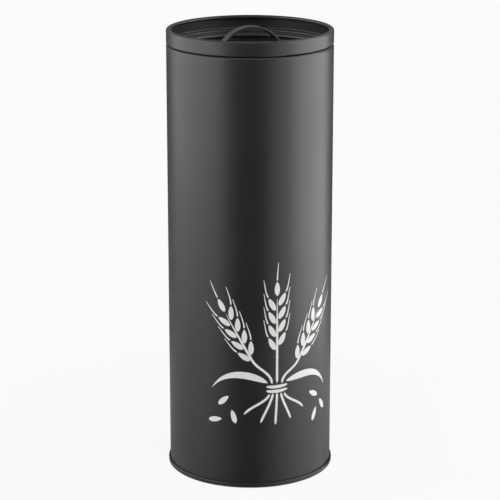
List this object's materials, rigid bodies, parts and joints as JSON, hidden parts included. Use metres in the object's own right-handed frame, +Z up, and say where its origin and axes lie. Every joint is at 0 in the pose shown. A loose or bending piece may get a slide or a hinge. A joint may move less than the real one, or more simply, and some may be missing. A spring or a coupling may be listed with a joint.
{
  "type": "cereal canister",
  "caption": "Tall cylindrical tin canister with a seamed foot and a flush press-in lid: a stepped pan with a strap handle arched inside it.",
  "frame": {"origin": "middle of the ring that the canister stands on, on the table plane", "axes": "+Z up along the canister's axis; the handle strap runs along X; the front faces -Y and the lengthwise seam is at the back on +Y"},
  "size_m": [0.112, 0.112, 0.3014],
  "materials": {
    "charcoal_coat": "satin charcoal stove enamel on tinplate",
    "silicone": "frosted food-grade silicone"
  },
  "bodies": {
    "can": {"body_shell": "charcoal_coat", "base_end": "charcoal_coat"},
    "lid": {"lid_shell": "charcoal_coat", "lid_seal": "silicone", "lid_handle": "charcoal_coat", "handle_rivets": "charcoal_coat"}
  },
  "joints": [
    {"name": "lid_lift", "type": "slide", "parent": "can", "child": "lid", "axis": [0, 0, 1], "range_m": [0, 0.025]}
  ]
}
